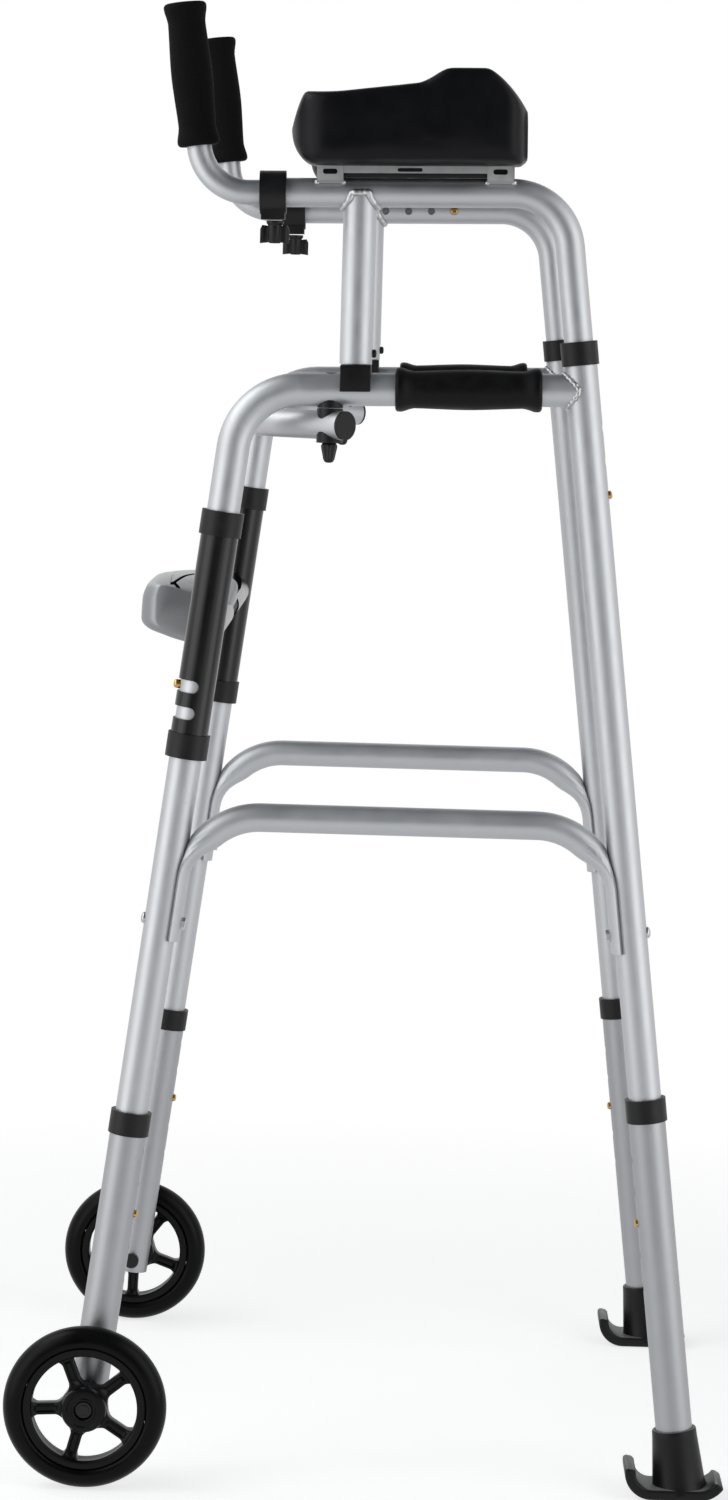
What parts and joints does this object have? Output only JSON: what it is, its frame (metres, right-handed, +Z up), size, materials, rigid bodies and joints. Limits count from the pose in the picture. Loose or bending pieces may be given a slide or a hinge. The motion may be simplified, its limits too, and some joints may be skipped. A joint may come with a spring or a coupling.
{
  "type": "upright walker",
  "caption": "Folding walking frame with front wheels, rear glide feet, adjustable tube legs and padded forearm supports with upright hand grips.",
  "frame": {"origin": "on the floor, at the middle of the walker's box in plan", "axes": "+Z up, -Y forward to the wheels, +X to the user's left"},
  "size_m": [0.596, 0.5618, 1.1511],
  "materials": {
    "anodised": "satin anodised",
    "black_tube": "gloss black",
    "black_plastic": "matte",
    "black_gloss": "semi-gloss",
    "black_steel": "black",
    "hub_grey": "semi-gloss",
    "grip_rubber": "matte",
    "foot_rubber": "matte",
    "tyre": "smooth",
    "pad_skin": "satin skin",
    "foam": "matte foam",
    "brass_clip": "plain",
    "zinc": "zinc plated"
  },
  "bodies": {
    "brace": {"front_brace": "black_tube", "sleeve_collars": "black_plastic", "hub_housing": "hub_grey"},
    "fold_button": {"fold_button": "hub_grey"},
    "left_lock": {"left_lock_rod": "zinc"},
    "right_lock": {"right_lock_rod": "zinc"},
    "front_bar": {"front_bar": "anodised", "bar_fittings": "black_plastic"},
    "left_thumb": {"left_thumb_nut": "black_plastic"},
    "right_thumb": {"right_thumb_nut": "black_plastic"},
    "left_frame": {"left_front_tube": "anodised", "left_rear_leg": "anodised", "left_handle_grip": "grip_rubber", "left_side_brace": "anodised", "left_frame_bolts": "zinc", "left_top_collar": "black_plastic"},
    "left_front_leg": {"left_front_extension": "anodised", "left_front_collar": "black_plastic", "left_axle_bolt": "black_steel"},
    "left_wheel": {"left_wheel_rim": "black_gloss", "left_tyre": "tyre"},
    "left_rear_leg": {"left_rear_extension": "anodised", "left_rear_collar": "black_plastic", "left_glide_foot": "foot_rubber"},
    "left_front_snap": {"left_front_button": "brass_clip"},
    "left_rear_snap": {"left_rear_button": "brass_clip"},
    "left_arm": {"left_arm_frame": "anodised", "left_arm_pad": "pad_skin", "left_grip_clamp": "black_plastic"},
    "left_knob": {"left_wing_knob": "black_plastic"},
    "left_post": {"left_post_saddle": "black_plastic"},
    "left_arm_snap": {"left_arm_button": "brass_clip"},
    "left_grip": {"left_grip_tube": "anodised", "left_foam_grip": "foam"},
    "left_grip_snap": {"left_grip_button": "brass_clip"},
    "right_frame": {"right_front_tube": "anodised", "right_rear_leg": "anodised", "right_handle_grip": "grip_rubber", "right_side_brace": "anodised", "right_frame_bolts": "zinc", "right_top_collar": "black_plastic"},
    "right_front_leg": {"right_front_extension": "anodised", "right_front_collar": "black_plastic", "right_axle_bolt": "black_steel"},
    "right_wheel": {"right_wheel_rim": "black_gloss", "right_tyre": "tyre"},
    "right_rear_leg": {"right_rear_extension": "anodised", "right_rear_collar": "black_plastic", "right_glide_foot": "foot_rubber"},
    "right_front_snap": {"right_front_button": "brass_clip"},
    "right_rear_snap": {"right_rear_button": "brass_clip"},
    "right_arm": {"right_arm_frame": "anodised", "right_arm_pad": "pad_skin", "right_grip_clamp": "black_plastic"},
    "right_knob": {"right_wing_knob": "black_plastic"},
    "right_post": {"right_post_saddle": "black_plastic"},
    "right_arm_snap": {"right_arm_button": "brass_clip"},
    "right_grip": {"right_grip_tube": "anodised", "right_foam_grip": "foam"},
    "right_grip_snap": {"right_grip_button": "brass_clip"}
  },
  "joints": [
    {"name": "fold_press", "type": "slide", "parent": "brace", "child": "fold_button", "axis": [0, 0, -1], "range_m": [0, 0.005], "stiffness_N_per_m": 1500},
    {"name": "left_lock_slide", "type": "slide", "parent": "brace", "child": "left_lock", "axis": [-1, 0, 0], "range_m": [0, 0.005]},
    {"name": "right_lock_slide", "type": "slide", "parent": "brace", "child": "right_lock", "axis": [1, 0, 0], "range_m": [0, 0.005]},
    {"name": "bar_removal", "type": "slide", "parent": "brace", "child": "front_bar", "axis": [0, 0, -1], "range_m": [0, 0.07]},
    {"name": "left_thumb_turn", "type": "hinge", "parent": "front_bar", "child": "left_thumb", "pos_m": [0.252, -0.04873, 0.80643], "axis": [0, 0, 1], "continuous": true},
    {"name": "left_fold", "type": "hinge", "parent": "brace", "child": "left_frame", "pos_m": [0.252, -0.21743, 0.0635], "axis": [0, 0.1271, 0.9919], "range_deg": [0, 78]},
    {"name": "left_front_leg_slide", "type": "slide", "parent": "left_frame", "child": "left_front_leg", "axis": [0, -0.1271, -0.9919], "range_m": [-0.0508, 0.0508], "deforming": ["left_front_button"]},
    {"name": "left_wheel_spin", "type": "hinge", "parent": "left_front_leg", "child": "left_wheel", "pos_m": [0.284, -0.21743, 0.0635], "axis": [1, 0, 0], "continuous": true},
    {"name": "left_rear_leg_slide", "type": "slide", "parent": "left_frame", "child": "left_rear_leg", "axis": [0, 0.1201, -0.9928], "range_m": [-0.0508, 0.0508], "deforming": ["left_rear_button"]},
    {"name": "left_front_snap_press", "type": "slide", "parent": "left_frame", "child": "left_front_snap", "axis": [0, -0.9919, 0.1271], "range_m": [0, 0.0045], "stiffness_N_per_m": 1500},
    {"name": "left_rear_snap_press", "type": "slide", "parent": "left_frame", "child": "left_rear_snap", "axis": [0, 0.9928, 0.1201], "range_m": [0, 0.0045], "stiffness_N_per_m": 1500},
    {"name": "left_arm_slide", "type": "slide", "parent": "left_frame", "child": "left_arm", "axis": [0, -0.1201, 0.9928], "range_m": [0, 0.0508], "deforming": ["left_arm_button"]},
    {"name": "left_arm_snap_press", "type": "slide", "parent": "left_arm", "child": "left_arm_snap", "axis": [0, -0.9928, -0.1201], "range_m": [0, 0.004], "stiffness_N_per_m": 1500},
    {"name": "left_post_slide", "type": "slide", "parent": "left_arm", "child": "left_post", "axis": [0, 0, -1], "range_m": [0, 0.0508]},
    {"name": "left_knob_turn", "type": "hinge", "parent": "left_arm", "child": "left_knob", "pos_m": [0.252, -0.09397, 0.9816], "axis": [0, 0.0227, -0.9997], "continuous": true},
    {"name": "left_grip_slide", "type": "slide", "parent": "left_arm", "child": "left_grip", "axis": [0, -0.9997, -0.0227], "range_m": [0, 0.06], "deforming": ["left_grip_button"]},
    {"name": "left_grip_snap_press", "type": "slide", "parent": "left_grip", "child": "left_grip_snap", "axis": [1, 0, 0], "range_m": [0, 0.0038], "stiffness_N_per_m": 1500},
    {"name": "right_thumb_turn", "type": "hinge", "parent": "front_bar", "child": "right_thumb", "pos_m": [-0.252, -0.04873, 0.80643], "axis": [0, 0, 1], "continuous": true},
    {"name": "right_fold", "type": "hinge", "parent": "brace", "child": "right_frame", "pos_m": [-0.252, -0.21743, 0.0635], "axis": [0, -0.1271, -0.9919], "range_deg": [0, 40]},
    {"name": "right_front_leg_slide", "type": "slide", "parent": "right_frame", "child": "right_front_leg", "axis": [0, -0.1271, -0.9919], "range_m": [-0.0508, 0.0508], "deforming": ["right_front_button"]},
    {"name": "right_wheel_spin", "type": "hinge", "parent": "right_front_leg", "child": "right_wheel", "pos_m": [-0.284, -0.21743, 0.0635], "axis": [1, 0, 0], "continuous": true},
    {"name": "right_rear_leg_slide", "type": "slide", "parent": "right_frame", "child": "right_rear_leg", "axis": [0, 0.1201, -0.9928], "range_m": [-0.0508, 0.0508], "deforming": ["right_rear_button"]},
    {"name": "right_front_snap_press", "type": "slide", "parent": "right_frame", "child": "right_front_snap", "axis": [0, -0.9919, 0.1271], "range_m": [0, 0.0045], "stiffness_N_per_m": 1500},
    {"name": "right_rear_snap_press", "type": "slide", "parent": "right_frame", "child": "right_rear_snap", "axis": [0, 0.9928, 0.1201], "range_m": [0, 0.0045], "stiffness_N_per_m": 1500},
    {"name": "right_arm_slide", "type": "slide", "parent": "right_frame", "child": "right_arm", "axis": [0, -0.1201, 0.9928], "range_m": [0, 0.0508], "deforming": ["right_arm_button"]},
    {"name": "right_arm_snap_press", "type": "slide", "parent": "right_arm", "child": "right_arm_snap", "axis": [0, -0.9928, -0.1201], "range_m": [0, 0.004], "stiffness_N_per_m": 1500},
    {"name": "right_post_slide", "type": "slide", "parent": "right_arm", "child": "right_post", "axis": [0, 0, -1], "range_m": [0, 0.0508]},
    {"name": "right_knob_turn", "type": "hinge", "parent": "right_arm", "child": "right_knob", "pos_m": [-0.252, -0.09397, 0.9816], "axis": [0, 0.0227, -0.9997], "continuous": true},
    {"name": "right_grip_slide", "type": "slide", "parent": "right_arm", "child": "right_grip", "axis": [0, -0.9997, -0.0227], "range_m": [0, 0.06], "deforming": ["right_grip_button"]},
    {"name": "right_grip_snap_press", "type": "slide", "parent": "right_grip", "child": "right_grip_snap", "axis": [-1, 0, 0], "range_m": [0, 0.0038], "stiffness_N_per_m": 1500}
  ],
  "couplings": [
    {"joint": "left_lock_slide", "follows": "fold_press", "ratio": 1},
    {"joint": "right_lock_slide", "follows": "fold_press", "ratio": 1},
    {"joint": "left_post_slide", "follows": "left_arm_slide", "ratio": 0.99276},
    {"joint": "right_post_slide", "follows": "right_arm_slide", "ratio": 0.99276}
  ]
}
